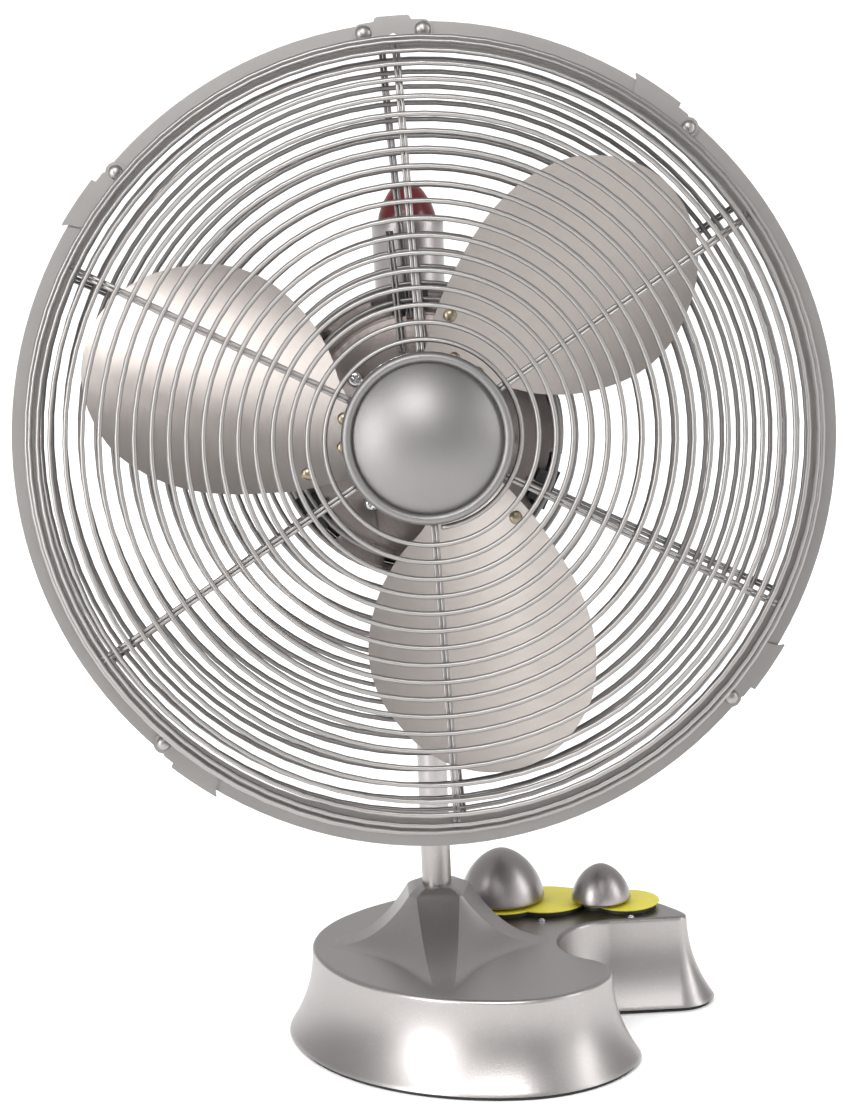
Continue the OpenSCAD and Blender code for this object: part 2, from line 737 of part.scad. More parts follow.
// A latch turns on its rivet; its folded lip reaches over both rims and hooks behind the rear one
module latch(a) {
    color(nickel) in_head() at_angle(a + guard_clock) difference() {
        union() {
            axial(latch_front + 1.3) linear_extrude(1.3) polygon(concat(
                rim_arc(166.6, 1.3, 8), [for (e = latch_end) e[0] * [cos(e[1]), sin(e[1])]],
                rim_arc(lip_r, 10.3, 2.9), rim_arc(rim_r + 0.5, 2.75, 1.2), rivet_arc(4.4, 40, -220)
            ));
            axial(latch_back) linear_extrude(latch_back - latch_front - 0.5)
                polygon(concat(rim_arc(lip_r - lip_t, 3.825, 9.375, 6), rim_arc(lip_r, 9.375, 3.825, 6)));
            axial(latch_back) linear_extrude(1.3)
                polygon(concat(rim_arc(rim_r - 2.5, 4.75, 8.45, 4), rim_arc(lip_r, 8.45, 4.75, 4)));
        }
        axial(latch_front + 5) translate([rivet_at, 0, 0]) cylinder(h = 10, r = rivet_r + 0.05);
    }
}

module latch_1() { latch(latch_angles[0]); }
module latch_2() { latch(latch_angles[1]); }
module latch_3() { latch(latch_angles[2]); }
module latch_4() { latch(latch_angles[3]); }

module dome_head(r, h) {
    rotate_extrude() polygon(concat([[0, 0], [r, 0]], [for (i = [1:5]) [r * cos(18 * i), h * sin(18 * i)]]));
}

module guard_rivets() {
    color(steel) in_head() {
        for (a = latch_angles) at_angle(a + guard_clock) translate([rivet_at, 0, 0]) {
            axial(rim_y - 0.25) cylinder(h = rim_y - latch_front + 0.1, r = rivet_r);
            axial(latch_front - 0.1) dome_head(3.1, 2.1);
        }
        for (a = tab_rivet_angles) at_angle(a + guard_clock) translate([rivet_at, 0, 0]) {
            axial(rim_y - 0.25) cylinder(h = sheet + 1.4, r = rivet_r);
            axial(tab_front - 0.05) dome_head(3.5, 2.3);
        }
    }
}

tab_front = rim_y - 0.25 - 2 * sheet;
tab_half = 4.2;
function turned(p, a) = [p[0] * cos(a) - p[1] * sin(a), p[0] * sin(a) + p[1] * cos(a)];
module top_tab() {
    color(nickel) in_head() at_angle(90 + guard_clock) difference() {
        axial(tab_front + sheet) linear_extrude(sheet) polygon(concat(
            rim_arc(rim_r - 7.9, -tab_half + 1, tab_half - 1),
            [for (p = rivet_arc(4.3, 170, 15)) turned(p, tab_half)],
            [[rim_r + 0.6, 8], [rim_r + 2, 7.4], [rim_r + 2.6, 6.4], [rim_r + 2.6, -6.4], [rim_r + 2, -7.4], [rim_r + 0.6, -8]],
            [for (p = rivet_arc(4.3, -15, -170)) turned(p, -tab_half)]
        ));
        axial(tab_front + 5) translate([hang_hole, 0, 0]) cylinder(h = 10, r = 1.8);
        for (a = tab_rivet_angles) at_angle(a - 90) axial(tab_front + 5) translate([rivet_at, 0, 0]) cylinder(h = 10, r = rivet_r + 0.05);
    }
}

// Badge: a plain turned dome in a rounded bezel, clamped to the spokes by a plate and a centre stud
spoke_front = front_face + spoke_gap - spoke_wire / 2;
module badge_bezel() {
    color(nickel) in_head() axial(spoke_front - 0.05) rotate_extrude() polygon([
        [0, 0], [34.8, 0], [36, 1.2], [36, 4.9], [35.3, 6.5], [33.7, 7.2], [32.1, 6.5], [31.4, 4.9], [31.4, 3], [0, 3]
    ]);
}

dome_edge_r = 31.2;
dome_edge_h = 1.9;
dome_rise = 10;
dome_r = (pow(dome_edge_r, 2) + pow(dome_rise, 2)) / (2 * dome_rise);
dome_a = asin(dome_edge_r / dome_r);
module badge_dome() {
    color(nickel) in_head() axial(spoke_front - 3.1) rotate_extrude() polygon(concat(
        [[0, 0], [dome_edge_r, 0], [dome_edge_r, dome_edge_h]],
        [for (i = [1:7]) let (a = dome_a * (1 - i / 8)) [dome_r * sin(a), dome_edge_h + dome_rise - dome_r * (1 - cos(a))]],
        [[0, dome_edge_h + dome_rise]]
    ));
}

module badge_back() {
    color(steel) in_head() {
        ring_between(spoke_front + spoke_wire + 0.05, spoke_front + spoke_wire + 1.6, 36, 0);
        ring_between(spoke_front + spoke_wire + 1.6 - eps, spoke_front + spoke_wire + 4, 4, 0);
    }
}

// ---------- Rotor ----------
rotor_y = -100;
module motor_shaft() {
    color(steel) in_head() {
        ring_between(rotor_y - 16, 14.5, shaft_r, 0);
    }
}

module rotor_core() {
    color(steel) in_head() ring_between(stack_front, stack_back, 25.6, shaft_r + 0.02);
}

module worm() {
    color(brass) in_head() difference() {
        ring_between(0, 13.5, 5.6, shaft_r + 0.02);
        for (y = [1.5:2:12]) ring_between(y, y + 1, 7, 4.9);
    }
}

module worm_wheel() {
    color(brass) in_head() translate([wheel_at[0], wheel_at[1], -12]) {
        difference() {
            union() {
                translate([0, 0, 9]) cylinder(h = 6, r = 12.2);
                cylinder(h = 9.1, r = 4.9);
            }
            for (a = [0:12:348]) rotate(a) translate([12.8, 0, 8]) cylinder(h = 8, r = 1.1);
            translate([0, 0, -1]) cylinder(h = 20, r = axle_r + 0.05);
        }
    }
}

// Blade sheet: stations of radius, trailing angle and leading angle, in degrees from the root's trailing corner
blade_mid = -36;
blade_stations = [
    [30, 10, -44], [40, 6, -52], [50, 3, -61.5], [60, 0.5, -66], [71, -2.6, -68], [86, -5.9, -68],
    [101, -9.4, -66], [116, -13.7, -61.8], [131, -19.2, -55.4], [139, -23.6, -51.2], [145, -28, -46.8],
    [148.8, -32.4, -42.2], [150, -36, -38.6]
];
blade_camber = 5;
blade_t = 1.1;
// Place along the fan axis of the blade sheet at tangential distance t from the blade's centre line
function blade_y(t) = rotor_y - t * tan(blade_pitch) + blade_camber * (1 - pow(t / 40, 2));
function sheet_point(r, a, back) = let (t = r * sin(a - blade_mid)) [r * cos(a), blade_y(t) + back, r * sin(a)];

// Curved sheet between two edge angles at each station, from back to back + t behind the blade's front face
module curved_sheet(stations, steps, back, t) {
    n = len(stations);
    w = steps + 1;
    side = n * w;
    points = [for (b = [back, back + t]) for (s = stations) for (j = [0:steps])
        sheet_point(s[0], s[1] + (s[2] - s[1]) * j / steps, b)];
    grid = [for (i = [0:n - 2]) for (j = [0:steps - 1]) let (p = i * w + j)
        each [[p, p + 1, p + w + 1], [p, p + w + 1, p + w]]];
    back_grid = [for (f = grid) [f[2] + side, f[1] + side, f[0] + side]];
    rim_path = concat([for (j = [0:steps]) j], [for (i = [1:n - 1]) i * w + steps],
        [for (j = [steps - 1:-1:0]) (n - 1) * w + j], [for (i = [n - 2:-1:1]) i * w]);
    m = len(rim_path);
    edge = [for (k = [0:m - 1]) let (p = rim_path[k], q = rim_path[(k + 1) % m])
        each [[p, p + side, q + side], [p, q + side, q]]];
    polyhedron(points = points, faces = concat(grid, back_grid, edge), convexity = 4);
}

// Stations between the ones given, so that the edges run smoothly
function mid_station(a, b, c, d) = (9 * (b + c) - a - d) / 16;
function denser(s) = let (n = len(s)) [for (i = [0:n - 1]) each (i < n - 1 ?
    [s[i], mid_station(s[max(0, i - 1)], s[i], s[i + 1], s[min(n - 1, i + 2)])] : [s[i]])];

rivet_spots = [[52.3, -4.5], [35, -14], [35, -34]];
module rivet_holes() {
    for (p = rivet_spots) at_angle(p[1]) axial(rotor_y + 40) translate([p[0], 0, 0]) cylinder(h = 80, r = 1.6);
}

module blade(k) {
    scaled = [for (s = blade_stations) [s[0] * blade_r / 150, s[1], s[2]]];
    color(nickel) in_head() at_angle(120 * k + 82 + rotor_clock) difference() {
        curved_sheet(denser(scaled), 14, 0, blade_t);
        rivet_holes();
    }
}

// Rivets through each blade and its arm
module blade_rivets() {
    color(brass) in_head() for (k = [0:2]) at_angle(120 * k + 82 + rotor_clock) for (p = rivet_spots)
        at_angle(p[1]) translate([p[0], 0, 0]) {
            y = blade_y(p[0] * sin(p[1] - blade_mid));
            axial(y + 4.4) cylinder(h = 5.6, r = 1.55);
            axial(y - 0.9) dome_head(2.9, 1.6);
        }
}

module blade_1() { blade(0); }
module blade_2() { blade(1); }
module blade_3() { blade(2); }

// Hub with three riveted arms behind the blades; each arm has the blade's own curve
arm_stations = [[8, 22, -82], [24, 8, -56], [36, 4, -44], [47, 1.5, -24], [56, -0.5, -12]];
arm_back = blade_t + 0.05;
arm_t = 1.8;
module arm_strip() {
    near = [for (t = [-30:5:35]) [-t, blade_y(t) + arm_back]];
    far = [for (t = [35:-5:-30]) [-t, blade_y(t) + arm_back + arm_t]];
    at_angle(blade_mid) rotate([0, 90, 0]) linear_extrude(70) polygon(concat(near, far));
}

module arm_outline() {
    lead = [for (s = arm_stations) s[0] * [cos(s[2]), sin(s[2])]];
    trail = [for (i = [len(arm_stations) - 1:-1:0]) let (s = arm_stations[i]) s[0] * [cos(s[1]), sin(s[1])]];
    axial(rotor_y + 40) linear_extrude(80) polygon(concat(lead, trail));
}

module blade_spider() {
    color(steel) in_head() difference() {
        union() {
            ring_between(rotor_y - 12, rotor_y + 14, 15, 0);
            for (k = [0:2]) at_angle(120 * k + 82 + rotor_clock) difference() {
                intersection() {
                    arm_strip();
                    arm_outline();
                }
                rivet_holes();
            }
        }
        ring_between(rotor_y - 40, rotor_y + 40, shaft_r + 0.02, 0);
    }
}

base_cover();
base_plate();
ballast_weight();
rubber_pad();
base_fasteners();
post_cowl();
post_tube();
control_panel();
knob_card();
panel_studs();
rotary_switches();
cord_gland();
post_fork();
tilt_bolt();
tilt_knob();
speed_knob();
timer_knob();
neck();
gearbox_housing();
gearbox_cover();
clutch_sleeve();
clutch_collar();
motor_front_bell();
motor_rear_bell();
stator_core();
stator_windings();
motor_bushes();
through_bolts();
rear_mount_plate();
mount_screws();
guard_pads();
rear_face_rings();
rear_side_rings();
rear_spokes();
rear_rim();
front_face_rings();
front_side_rings();
front_spokes();
front_rim();
badge_bezel();
badge_dome();
badge_back();
top_tab();
guard_rivets();
motor_shaft();
rotor_core();
worm();
blade_spider();
blade_rivets();
blade_1();
blade_2();
blade_3();
worm_wheel();
crank();
link_arm();
clutch_knob();
latch_1();
latch_2();
latch_3();
latch_4();
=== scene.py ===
"""Looks for the desk fan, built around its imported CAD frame. Metres; +Z up, the fan blows towards -Y."""

import json
import math

import bmesh
import bpy
import numpy as np
from mathutils import Matrix, Vector


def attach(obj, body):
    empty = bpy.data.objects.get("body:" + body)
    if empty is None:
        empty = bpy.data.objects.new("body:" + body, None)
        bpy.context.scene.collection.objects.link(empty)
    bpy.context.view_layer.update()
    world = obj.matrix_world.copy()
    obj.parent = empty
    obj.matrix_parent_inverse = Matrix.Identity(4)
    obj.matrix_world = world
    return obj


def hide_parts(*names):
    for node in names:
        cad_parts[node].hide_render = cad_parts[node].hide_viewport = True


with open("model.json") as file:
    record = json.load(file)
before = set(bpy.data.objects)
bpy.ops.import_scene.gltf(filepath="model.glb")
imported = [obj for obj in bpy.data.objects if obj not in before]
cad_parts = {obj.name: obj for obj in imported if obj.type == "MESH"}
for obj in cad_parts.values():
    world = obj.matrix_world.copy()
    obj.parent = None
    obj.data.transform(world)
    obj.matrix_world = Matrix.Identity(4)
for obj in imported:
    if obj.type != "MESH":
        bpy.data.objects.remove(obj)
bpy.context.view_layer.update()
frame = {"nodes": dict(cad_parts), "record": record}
scene = bpy.context.scene
MM = 0.001

# ---------- Camera ----------
CAM_AT = (-0.0438, -1.6671, 0.6210)
CAM_TURN = math.radians(1.515)
CAM_PITCH = math.radians(-13.379)
CAM_ROLL = math.radians(2.3)
LENS, SENSOR = 121.29, 36.0
SEES_TO = 30.0


def make_camera():
    cam = bpy.data.objects.new("camera", bpy.data.cameras.new("camera"))
    scene.collection.objects.link(cam)
    level = math.cos(CAM_PITCH)
    ahead = Vector((math.sin(CAM_TURN) * level, math.cos(CAM_TURN) * level, math.sin(CAM_PITCH)))
    right = Vector((math.cos(CAM_TURN), -math.sin(CAM_TURN), 0.0))
    up = right.cross(ahead)
    rolled_right = right * math.cos(CAM_ROLL) - up * math.sin(CAM_ROLL)
    rolled_up = up * math.cos(CAM_ROLL) + right * math.sin(CAM_ROLL)
    turn = Matrix((rolled_right, rolled_up, -ahead)).transposed()
    cam.matrix_world = Matrix.Translation(CAM_AT) @ turn.to_4x4()
    cam.data.lens = LENS
    cam.data.sensor_width = SENSOR
    cam.data.clip_end = SEES_TO
    scene.camera = cam


make_camera()

# ---------- Places and sizes that the CAD has too, in millimetres and degrees ----------
PIVOT_Z = 211.0
HEAD_TILT = 10.0
AXIS_RISE = 72.0
HEAD = (
    Matrix.Translation((0, 0, PIVOT_Z * MM))
    @ Matrix.Rotation(math.radians(-HEAD_TILT), 4, "X")
    @ Matrix.Translation((0, 0, AXIS_RISE * MM))
)
RIM_Y, SHEET = -114.0, 1.2
RING_WIRE, SPOKE_WIRE = 2.2, 3.2
SPOKE_GAP = (RING_WIRE + SPOKE_WIRE) / 2 + 0.05
CLOCK = 2.0
ROTOR_Y = -100.0
ROTOR_CLOCK = -2.0
BASE_TOP = 43.0
SKIRT_FOOT = 2.0


# ---------- Mesh helpers ----------
def smooth_faces(obj):
    obj.data.polygons.foreach_set("use_smooth", [True] * len(obj.data.polygons))


def new_mesh(name, verts, faces, place=None, smooth=True):
    """Object from points in millimetres, put through the matrix place."""
    mesh = bpy.data.meshes.new(name)
    mesh.from_pydata([tuple(c * MM for c in v) for v in verts], [], faces)
    mesh.update()
    if place is not None:
        mesh.transform(place)
    obj = bpy.data.objects.new(name, mesh)
    scene.collection.objects.link(obj)
    bm = bmesh.new()
    bm.from_mesh(mesh)
    bmesh.ops.recalc_face_normals(bm, faces=bm.faces)
    bm.to_mesh(mesh)
    bm.free()
    if smooth:
        smooth_faces(obj)
    return obj


def soften(obj, angle, width=0.0, segments=2):
    """Edges sharper than the angle stay sharp, or are rounded by a bevel of the width in mm."""
    if width:
        bev = obj.modifiers.new("edge", "BEVEL")
        bev.width = width * MM
        bev.segments = segments
        bev.limit_method = "ANGLE"
        bev.angle_limit = math.radians(angle)
        bev.harden_normals = True
    else:
        obj.data.set_sharp_from_angle(angle=math.radians(angle))


# Rings that narrow a wire's ends: how far along it, in radii, and their share of its radius
WIRE_START = ((0.0, 0.45), (0.4, 0.85))
WIRE_END = ((-0.4, 0.85), (0.0, 0.45))


def tube(points, radius, sides=10):
    """Points and faces of a round wire along an open path, narrowed at its ends."""
    p = np.array(points, float)
    n = len(p)
    tan = np.roll(p, -1, 0) - np.roll(p, 1, 0)
    tan[0] = p[1] - p[0]
    tan[-1] = p[-1] - p[-2]
    tan /= np.linalg.norm(tan, axis=1)[:, None]
    side = np.zeros((n, 3))
    start = np.cross(tan[0], (0.3, 0.9, 0.2))
    side[0] = start / np.linalg.norm(start)
    for i in range(1, n):
        s = side[i - 1] - tan[i] * side[i - 1].dot(tan[i])
        side[i] = s / np.linalg.norm(s)
    other = np.cross(tan, side)
    rows = [(p[0] + tan[0] * radius * along, 0, share) for along, share in WIRE_START]
    rows.append((rows[-1][0], 0, 1.0))
    rows += [(p[i], i, 1.0) for i in range(1, n)]
    rows += [(p[-1] + tan[-1] * radius * along, -1, share) for along, share in WIRE_END]
    angles = np.arange(sides) * 2 * math.pi / sides
    verts = []
    for centre, i, share in rows:
        for a in angles:
            verts.append(tuple(centre + radius * share * (math.cos(a) * side[i] + math.sin(a) * other[i])))
    faces = []
    for a in range(0, (len(rows) - 1) * sides, sides):
        b = a + sides
        for j in range(sides):
            k = (j + 1) % sides
            faces.append((a + j, a + k, b + k, b + j))
    faces.append(tuple(range(sides))[::-1])
    faces.append(tuple((len(rows) - 1) * sides + j for j in range(sides)))
    return verts, faces


def joined(parts):
    """One list of points and faces out of several."""
    verts, faces = [], []
    for v, f in parts:
        base = len(verts)
        verts += v
        faces += [tuple(i + base for i in face) for face in f]
    return verts, faces


def lathe(profile, steps=96):
    """Profile of (radius, height) turned about Z; radius 0 makes a pole."""
    angles = [2 * math.pi * i / steps for i in range(steps)]
    verts, faces, rows = [], [], []
    for r, z in profile:
        first = len(verts)
        if r < 1e-6:
            rows.append([first] * steps)
            verts.append((0, 0, z))
        else:
            rows.append([first + i for i in range(steps)])
            verts += [(r * math.cos(a), r * math.sin(a), z) for a in angles]
    for lo, hi in zip(rows, rows[1:]):
        for i in range(steps):
            j = (i + 1) % steps
            face = tuple(dict.fromkeys((lo[i], lo[j], hi[j], hi[i])))
            if len(face) > 2:
                faces.append(face)
    return verts, faces


def bridge(rings, n):
    """Quads between neighbours among closed rings of n points each, counted from point 0."""
    faces = []
    for k in range(rings - 1):
        for i in range(n):
            j = (i + 1) % n
            faces.append((k * n + i, k * n + j, (k + 1) * n + j, (k + 1) * n + i))
    return faces


def moved(part, matrix):
    verts, faces = part
    return [tuple(matrix @ Vector(v)) for v in verts], faces


def axial(y):
    """Stands a part on the fan axis at y, its +Z towards the front, in mm."""
    return Matrix.Translation((0, y, 0)) @ Matrix.Rotation(math.radians(90), 4, "X")


def at_angle(a):
    """Turn about the fan axis, counter-clockwise from the front."""
    return Matrix.Rotation(math.radians(-a), 4, "Y")


def polar(r, y, a):
    return (r * math.cos(math.radians(a)), y, r * math.sin(math.radians(a)))


# ---------- Materials ----------
CLOUD_DETAIL, CLOUD_FROM, CLOUD_TO = 5.0, 0.3, 0.7
GRAIN_DETAIL, GRAIN_DEPTH = 3.0, 0.0002
SPOTS_FROM, SPOTS_TO = 0.56, 0.72
SMOOTHEST = 0.02
COAT_ROUGH = 0.08


def surface(name, color, metallic, rough, tint, tint_scale, grain, grain_scale, rough_var,
            stretch=(1, 1, 1), coat=0.0, spots=None):
    """Principled finish: cloudy tint and roughness, plus a fine grain that can be drawn out into brush marks."""
    mat = bpy.data.materials.new(name)
    mat.use_nodes = True
    nt = mat.node_tree
    bsdf = nt.nodes["Principled BSDF"]
    bsdf.inputs["Metallic"].default_value = metallic
    if coat:
        bsdf.inputs["Coat Weight"].default_value = coat
        bsdf.inputs["Coat Roughness"].default_value = COAT_ROUGH
    coords = nt.nodes.new("ShaderNodeTexCoord")
    cloud = nt.nodes.new("ShaderNodeTexNoise")
    cloud.inputs["Scale"].default_value = tint_scale
    cloud.inputs["Detail"].default_value = CLOUD_DETAIL
    nt.links.new(coords.outputs["Object"], cloud.inputs["Vector"])
    ramp = nt.nodes.new("ShaderNodeValToRGB")
    dark, light = ramp.color_ramp.elements
    dark.position, light.position = CLOUD_FROM, CLOUD_TO
    dark.color = tuple(c * (1 - tint) for c in color) + (1,)
    light.color = tuple(min(1.0, c * (1 + tint)) for c in color) + (1,)
    nt.links.new(cloud.outputs["Fac"], ramp.inputs["Fac"])
    shade = ramp.outputs["Color"]
    stretched = nt.nodes.new("ShaderNodeMapping")
    stretched.inputs["Scale"].default_value = stretch
    nt.links.new(coords.outputs["Object"], stretched.inputs["Vector"])
    fine = nt.nodes.new("ShaderNodeTexNoise")
    fine.inputs["Scale"].default_value = grain_scale
    fine.inputs["Detail"].default_value = GRAIN_DETAIL
    nt.links.new(stretched.outputs["Vector"], fine.inputs["Vector"])
    if spots:
        mix = nt.nodes.new("ShaderNodeMix")
        mix.data_type = "RGBA"
        cut = nt.nodes.new("ShaderNodeMapRange")
        cut.inputs["From Min"].default_value = SPOTS_FROM
        cut.inputs["From Max"].default_value = SPOTS_TO
        nt.links.new(fine.outputs["Fac"], cut.inputs["Value"])
        nt.links.new(cut.outputs["Result"], mix.inputs["Factor"])
        nt.links.new(shade, mix.inputs["A"])
        mix.inputs["B"].default_value = tuple(spots) + (1,)
        shade = mix.outputs["Result"]
    nt.links.new(shade, bsdf.inputs["Base Color"])
    uneven = nt.nodes.new("ShaderNodeMapRange")
    uneven.inputs["To Min"].default_value = max(SMOOTHEST, rough - rough_var)
    uneven.inputs["To Max"].default_value = rough + rough_var
    nt.links.new(fine.outputs["Fac"], uneven.inputs["Value"])
    nt.links.new(uneven.outputs["Result"], bsdf.inputs["Roughness"])
    if grain:
        bump = nt.nodes.new("ShaderNodeBump")
        bump.inputs["Strength"].default_value = grain
        bump.inputs["Distance"].default_value = GRAIN_DEPTH
        nt.links.new(fine.outputs["Fac"], bump.inputs["Height"])
        nt.links.new(bump.outputs["Normal"], bsdf.inputs["Normal"])
    return mat


# After the name: colour, metallic, roughness, tint, its scale, grain, its scale, spread of roughness
MATS = {
    "nickel": surface("satin_nickel", (0.37, 0.35, 0.342), 1.0, 0.36, 0.03, 14, 0.25, 1600, 0.05,
                      spots=(0.42, 0.40, 0.39)),
    "guard_wire": surface("bright_nickel_wire", (0.315, 0.302, 0.293), 1.0, 0.40, 0.03, 30, 0.0, 300, 0.03),
    # rear_guard_wire is the same nickel wire as the front guard; its darker colour is painted shade for the rear
    # guard lying behind the blades and motor
    "rear_guard_wire": surface("nickel_wire_painted_shade", (0.24, 0.228, 0.224), 1.0, 0.40, 0.03, 30, 0.0, 300, 0.03),
    "badge_metal": surface("turned_nickel", (0.22, 0.213, 0.21), 1.0, 0.46, 0.03, 30, 0.25, 1500, 0.05),
    "blade_metal": surface("brushed_blade", (0.385, 0.352, 0.332), 1.0, 0.31, 0.02, 12, 0.05, 900, 0.03,
                           stretch=(1, 1, 7)),
    "spider_metal": surface("spider_steel", (0.55, 0.54, 0.53), 1.0, 0.32, 0.05, 30, 0.2, 900, 0.06),
    "knob_metal": surface("turned_knob", (0.36, 0.335, 0.328), 1.0, 0.33, 0.03, 30, 0.3, 700, 0.06,
                          stretch=(1, 1, 9)),
    "motor_paint": surface("taupe_paint", (0.19, 0.165, 0.155), 0.75, 0.36, 0.08, 30, 0.35, 1300, 0.07),
    "steel": surface("bright_steel", (0.60, 0.60, 0.61), 1.0, 0.14, 0.04, 60, 0.05, 900, 0.05),
    "lamination_steel": surface("lamination_steel", (0.30, 0.30, 0.31), 0.9, 0.45, 0.12, 60, 0.5, 1800, 0.08),
    "cast_iron": surface("cast_iron", (0.10, 0.10, 0.105), 0.6, 0.65, 0.2, 60, 0.8, 1200, 0.1),
    "brass": surface("satin_brass", (0.34, 0.29, 0.21), 1.0, 0.30, 0.08, 60, 0.1, 900, 0.06),
    "copper": surface("enamelled_copper", (0.48, 0.20, 0.09), 0.9, 0.35, 0.12, 200, 0.6, 2500, 0.08),
    "black_rubber": surface("black_rubber", (0.018, 0.018, 0.019), 0.0, 0.62, 0.2, 80, 0.35, 1800, 0.08),
    "black_plastic": surface("black_plastic", (0.016, 0.016, 0.017), 0.0, 0.48, 0.15, 80, 0.25, 1800, 0.06),
    "red_plastic": surface("red_plastic", (0.075, 0.001, 0.004), 0.0, 0.25, 0.05, 40, 0.02, 900, 0.03,
                           coat=0.1),
    "yellow_card": surface("yellow_card", (0.60, 0.53, 0.035), 0.0, 0.42, 0.03, 60, 0.15, 2200, 0.05),
}
slot_of = {s["node"]: s["material_slot"] for s in frame["record"]["subparts"]}


def dress(obj, slot):
    obj.data.materials.clear()
    obj.data.materials.append(MATS[slot])


def piece(obj, body, slot, *nodes):
    """Gives a new piece its material, its CAD body and the CAD nodes that it stands for."""
    dress(obj, slot)
    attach(obj, body)
    if nodes:
        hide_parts(*nodes)
    return obj


def head_piece(name, part, body, slot, *nodes):
    """A piece whose points are measured from the fan axis, straight over the tilt pivot."""
    return piece(new_mesh(name, *part, HEAD), body, slot, *nodes)


# ---------- Guards: each is one wire wound in a spiral, on spokes of paired wire ----------
# flat: radius where the spiral starts; end: radius where the face turns back, round a shoulder of radius
# bend; face: its y; way: from the face to the rim; hand: which way the wire winds; clock: turn of the spokes
FRONT = dict(flat=37.5, end=143.0, bend=25.0, face=-150.0, pitch=7.18, turns=21.3, way=1, hand=1, clock=0.0)
REAR = dict(flat=55.0, end=140.0, bend=28.0, face=-68.0, pitch=7.1, turns=18.3, way=-1, hand=-1, clock=1.5)
SPIRAL_FROM = 270 + CLOCK
TURN_STEPS = 72
SPOKES = 6
PAIR_WIRE = 1.62
PAIR_SHIFT = 0.84
FRONT_SPOKE_FROM, REAR_SPOKE_FROM = 33.0, 50.5


def shoulder_angle(g, s):
    """How far round its shoulder a guard is, at the length s along its section."""
    return min(math.pi / 2, max(0.0, (s - (g["end"] - g["flat"])) / g["bend"]))


def guard_r(g, s):
    return min(g["flat"] + s, g["end"]) + g["bend"] * math.sin(shoulder_angle(g, s))


def guard_drop(g, s):
    past_shoulder = s - (g["end"] - g["flat"]) - g["bend"] * math.pi / 2
    return g["bend"] * (1 - math.cos(shoulder_angle(g, s))) + max(0.0, past_shoulder)


def spiral(g, start):
    steps = int(g["turns"] * TURN_STEPS)
    pts = []
    for i in range(steps + 1):
        turn = g["turns"] * i / steps
        s = turn * g["pitch"]
        y = g["face"] + g["way"] * guard_drop(g, s)
        pts.append(polar(guard_r(g, s), y, start + g["hand"] * 360.0 * turn))
    return pts


def spoke_path(g, start, end_y):
    """Wire along a guard's face, round its shoulder and back to the rim."""
    bend = g["bend"] - g["way"] * SPOKE_GAP
    y_bend = g["face"] + g["way"] * g["bend"]
    pts = [(start + (g["end"] - start) * i / 24, y_bend - g["way"] * bend, 0) for i in range(24)]
    for i in range(13):
        a = math.radians(90 * i / 12)
        pts.append((g["end"] + bend * math.sin(a), y_bend - g["way"] * bend * math.cos(a), 0))
    pts.append((g["end"] + bend, end_y, 0))
    return pts


def wire_pair(path, a):
    """Two thin wires side by side along a path, turned to the angle a."""
    out = []
    for shift in (-PAIR_SHIFT, PAIR_SHIFT):
        pts = [tuple(at_angle(a) @ Vector((x, y, z + shift))) for x, y, z in path]
        out.append(tube(pts, PAIR_WIRE / 2))
    return out


def spoke_pairs(g, start, end_y):
    pairs = []
    for k in range(SPOKES):
        pairs += wire_pair(spoke_path(g, start, end_y), 30 + 360 // SPOKES * k + CLOCK + g["clock"])
    return joined(pairs)


head_piece("front_guard_wire", tube(spiral(FRONT, SPIRAL_FROM + 4), RING_WIRE / 2), "head", "guard_wire",
           "front_face_rings", "front_side_rings")
head_piece("rear_guard_wire", tube(spiral(REAR, SPIRAL_FROM), RING_WIRE / 2, 8), "head", "rear_guard_wire",
           "rear_face_rings", "rear_side_rings")
head_piece("front_guard_spokes", spoke_pairs(FRONT, FRONT_SPOKE_FROM, RIM_Y - SHEET - 0.25), "head",
           "guard_wire", "front_spokes")
head_piece("rear_guard_spokes", spoke_pairs(REAR, REAR_SPOKE_FROM, RIM_Y + SHEET + 0.05), "head",
           "rear_guard_wire", "rear_spokes")

# Hairpins of paired wire on each side of the top rear spoke, round the motor's mount
HAIRPIN_FROM, HAIRPIN_TO = 36, 89
HAIRPIN_SIDE, HAIRPIN_AHEAD = 5.0, 2.1
hairpins = []
for side in (-HAIRPIN_SIDE, HAIRPIN_SIDE):
    reach = [HAIRPIN_FROM + (HAIRPIN_TO - HAIRPIN_FROM) * i / 12 for i in range(13)]
    hairpins += wire_pair([(r, REAR["face"] - HAIRPIN_AHEAD, side) for r in reach], 90 + CLOCK + REAR["clock"])
head_piece("guard_hairpins", joined(hairpins), "head", "rear_guard_wire")

# ---------- Badge: a rounded bezel round a plain turned dome ----------
SPOKE_FRONT = FRONT["face"] + SPOKE_GAP - SPOKE_WIRE / 2
BADGE_GAP = 0.05
BEZEL_OUT, BEZEL_IN = 36.0, 31.4
BEZEL_FLOOR, BEZEL_EDGE, BEZEL_ARC_H = 3.0, 1.2, 4.9
DOME_EDGE, DOME_RISE = 1.9, 10.0
DOME_STEPS, BEZEL_STEPS, BADGE_STEPS = 120, 24, 128


def bezel_profile():
    r, middle = (BEZEL_OUT - BEZEL_IN) / 2, (BEZEL_OUT + BEZEL_IN) / 2
    prof = [(0, 0), (BEZEL_OUT - BEZEL_EDGE, 0), (BEZEL_OUT, BEZEL_EDGE)]
    for i in range(BEZEL_STEPS + 1):
        a = math.pi * i / BEZEL_STEPS
        prof.append((middle + r * math.cos(a), BEZEL_ARC_H + r * math.sin(a)))
    return prof + [(BEZEL_IN, BEZEL_FLOOR), (0, BEZEL_FLOOR)]


